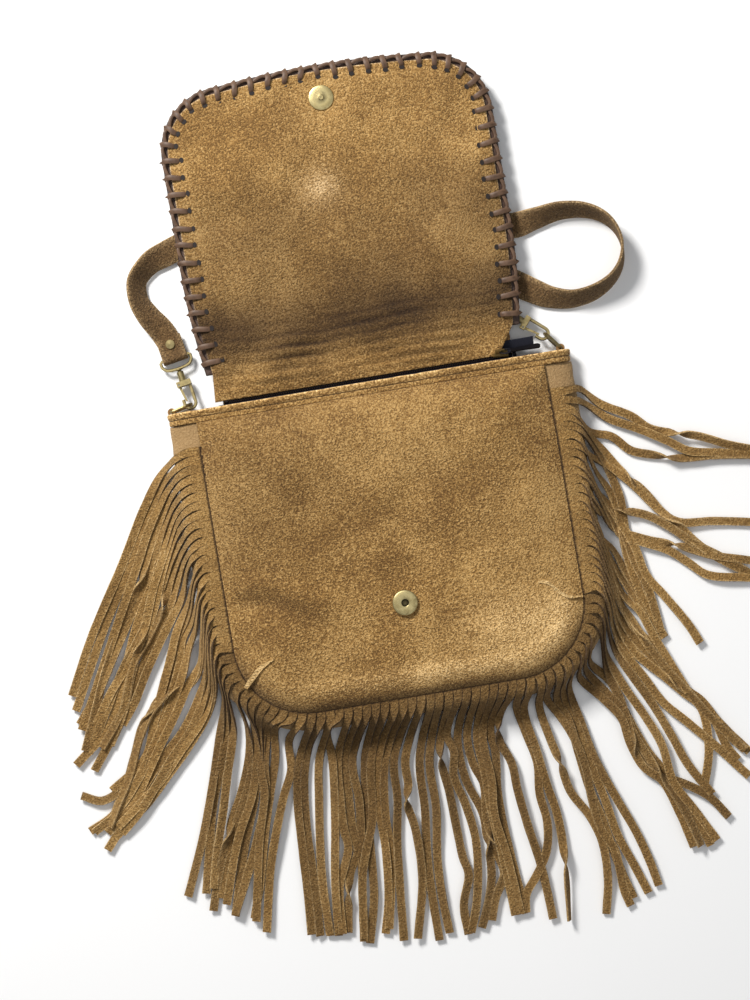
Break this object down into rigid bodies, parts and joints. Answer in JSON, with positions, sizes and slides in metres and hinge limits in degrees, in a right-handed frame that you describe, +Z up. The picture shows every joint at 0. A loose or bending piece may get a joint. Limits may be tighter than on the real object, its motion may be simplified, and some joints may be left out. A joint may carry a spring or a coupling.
{
  "type": "fringed suede shoulder bag",
  "caption": "Suede shoulder bag lying flat with its laced flap open, fringe along the seams, a zipped mouth, a magnetic snap and a strap on swivel clasps.",
  "frame": {"origin": "centre of the back panel's flat underside, which the bag lies on", "axes": "+X along the mouth, +Y from the bag's bottom to the open flap's free end, +Z up, out of the front panel"},
  "size_m": [0.5523, 0.6323, 0.0358],
  "materials": {
    "suede_tan": "napped suede",
    "suede_dark": "napped suede",
    "flap_leather": "smooth leather",
    "lace_leather": "smooth leather lace",
    "strap_suede": "napped suede",
    "zip_tape": "woven tape",
    "zip_metal": "dark enamel",
    "antique_brass": "brushed antique brass",
    "plain_steel": "plain"
  },
  "bodies": {
    "root": {"back_panel": "suede_dark", "front_panel": "suede_tan", "gusset": "suede_dark", "mouth_band": "suede_tan", "fringe_left": "suede_tan", "fringe_bottom": "suede_tan", "fringe_right": "suede_tan", "zip_tape_front": "zip_tape", "zip_tape_back": "zip_tape", "zip_teeth_front": "zip_metal", "zip_teeth_back": "zip_metal", "zip_stop_left": "zip_metal", "zip_stop_right": "zip_metal", "snap_socket": "antique_brass", "snap_socket_washer": "plain_steel", "d_ring_tab_left": "suede_dark", "d_ring_tab_right": "suede_dark", "clasp_eye_left": "antique_brass", "clasp_eye_right": "antique_brass", "shoulder_strap": "strap_suede", "strap_rivet_left": "antique_brass", "strap_rivet_right": "antique_brass"},
    "flap": {"flap_outer": "flap_leather", "flap_inner": "suede_tan", "flap_lacing": "lace_leather", "snap_stud": "antique_brass", "snap_stud_washer": "plain_steel"},
    "slider": {"zip_slider": "antique_brass"},
    "puller": {"zip_puller": "antique_brass"},
    "ring_left": {"d_ring_left": "antique_brass"},
    "ring_right": {"d_ring_right": "antique_brass"},
    "hook_left": {"clasp_hook_left": "antique_brass", "clasp_gate_pin_left": "plain_steel", "clasp_spring_left": "plain_steel"},
    "hook_right": {"clasp_hook_right": "antique_brass", "clasp_gate_pin_right": "plain_steel", "clasp_spring_right": "plain_steel"},
    "gate_left": {"clasp_gate_left": "antique_brass"},
    "gate_right": {"clasp_gate_right": "antique_brass"}
  },
  "joints": [
    {"name": "flap_hinge", "type": "hinge", "parent": "root", "child": "flap", "pos_m": [0, 0.135, 0.02565], "axis": [1, 0, 0], "range_deg": [0, 180]},
    {"name": "zip_slide", "type": "slide", "parent": "root", "child": "slider", "axis": [-1, 0, 0], "range_m": [0, 0.186]},
    {"name": "zip_pull_hinge", "type": "hinge", "parent": "slider", "child": "puller", "pos_m": [0.095, 0.11758, 0.01295], "axis": [0, -0.6198, 0.7848], "range_deg": [0, 165]},
    {"name": "ring_swing_left", "type": "hinge", "parent": "root", "child": "ring_left", "pos_m": [-0.1405, 0.1136, 0.008], "axis": [0, 0, 1], "range_deg": [0, 10]},
    {"name": "ring_swing_right", "type": "hinge", "parent": "root", "child": "ring_right", "pos_m": [0.138, 0.1136, 0.008], "axis": [0, 0, 1], "range_deg": [0, 3]},
    {"name": "clasp_swivel_left", "type": "hinge", "parent": "root", "child": "hook_left", "pos_m": [-0.12937, 0.13411, 0.00633], "axis": [-0.1693, 0.9809, -0.0963], "range_deg": [-30, 30]},
    {"name": "clasp_swivel_right", "type": "hinge", "parent": "root", "child": "hook_right", "pos_m": [0.11545, 0.13637, 0.00633], "axis": [-0.7472, 0.6576, -0.0963], "range_deg": [-30, 30]},
    {"name": "gate_hinge_left", "type": "hinge", "parent": "hook_left", "child": "gate_left", "pos_m": [-0.13259, 0.13164, 0.00652], "axis": [-0.0164, 0.0949, 0.9954], "range_deg": [0, 14], "stiffness_Nm_per_rad": 0.01, "springref_deg": -17.19},
    {"name": "gate_hinge_right", "type": "hinge", "parent": "hook_right", "child": "gate_right", "pos_m": [0.11449, 0.13242, 0.00652], "axis": [-0.0723, 0.0636, 0.9954], "range_deg": [0, 14], "stiffness_Nm_per_rad": 0.01, "springref_deg": -17.19}
  ]
}
